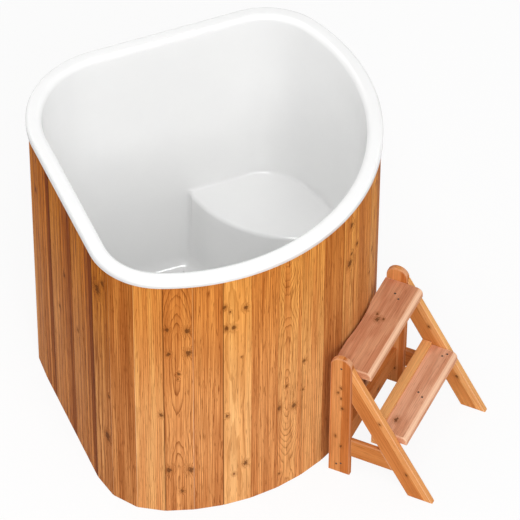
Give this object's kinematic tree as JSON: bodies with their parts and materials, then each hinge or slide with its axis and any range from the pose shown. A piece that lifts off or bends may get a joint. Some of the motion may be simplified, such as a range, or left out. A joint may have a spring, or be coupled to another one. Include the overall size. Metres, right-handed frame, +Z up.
{
  "type": "cold plunge tub",
  "caption": "Cold plunge tub: glossy moulded liner with a corner seat in a jacket of upright wooden staves, rounded-triangle plan, floor drain with lever cock, free-standing wooden steps.",
  "frame": {"origin": "on the ground under the middle of the overall box, tub and steps together", "axes": "+Z up; +X from the tub towards its steps, along the plan's line of symmetry"},
  "size_m": [1.4596, 1.266, 1.027],
  "materials": {
    "liner_gelcoat": "glossy white gelcoat",
    "stave_wood": "oiled softwood staves, knotty",
    "hoop_plywood": "raw plywood",
    "bearer_wood": "pressure-treated softwood",
    "step_wood": "oiled planed softwood",
    "tread_wood": "oiled planed softwood, pinkish",
    "drain_plastic": "moulded dark grey",
    "strainer_steel": "stamped stainless",
    "valve_brass": "cast brass, as turned",
    "lever_steel": "stamped stainless"
  },
  "bodies": {
    "tub": {"liner": "liner_gelcoat", "stave_01": "stave_wood", "stave_02": "stave_wood", "stave_03": "stave_wood", "stave_04": "stave_wood", "stave_05": "stave_wood", "stave_06": "stave_wood", "stave_07": "stave_wood", "stave_08": "stave_wood", "stave_09": "stave_wood", "stave_10": "stave_wood", "stave_11": "stave_wood", "stave_12": "stave_wood", "stave_13": "stave_wood", "stave_14": "stave_wood", "stave_15": "stave_wood", "stave_16": "stave_wood", "stave_17": "stave_wood", "stave_18": "stave_wood", "stave_19": "stave_wood", "stave_20": "stave_wood", "stave_21": "stave_wood", "stave_22": "stave_wood", "stave_23": "stave_wood", "stave_24": "stave_wood", "stave_25": "stave_wood", "stave_26": "stave_wood", "stave_27": "stave_wood", "stave_28": "stave_wood", "stave_29": "stave_wood", "stave_30": "stave_wood", "stave_31": "stave_wood", "stave_32": "stave_wood", "stave_33": "stave_wood", "stave_34": "stave_wood", "stave_35": "stave_wood", "stave_36": "stave_wood", "stave_37": "stave_wood", "stave_38": "stave_wood", "stave_39": "stave_wood", "top_hoop": "hoop_plywood", "bottom_hoop": "hoop_plywood", "base_bearer_back": "bearer_wood", "base_bearer_front": "bearer_wood", "drain_body": "drain_plastic", "drain_strainer": "strainer_steel", "drain_pipe": "drain_plastic", "valve_body": "valve_brass"},
    "drain_cock": {"valve_plug": "valve_brass", "valve_lever": "lever_steel"},
    "steps": {"step_post_left": "step_wood", "step_post_right": "step_wood", "step_leg_left": "step_wood", "step_leg_right": "step_wood", "step_rail_left": "step_wood", "step_rail_right": "step_wood", "step_back_rail": "step_wood", "step_upper_tread": "tread_wood", "step_lower_tread": "tread_wood", "step_riser": "step_wood"}
  },
  "joints": [
    {"name": "drain_cock_turn", "type": "hinge", "parent": "tub", "child": "drain_cock", "pos_m": [-0.47831, 0.42797, 0.045], "axis": [0, 0, 1], "range_deg": [0, 90]},
    {"name": "steps_pull", "type": "slide", "parent": "tub", "child": "steps", "axis": [0.9993, -0.0366, 0], "range_m": [0, 0.5]}
  ]
}
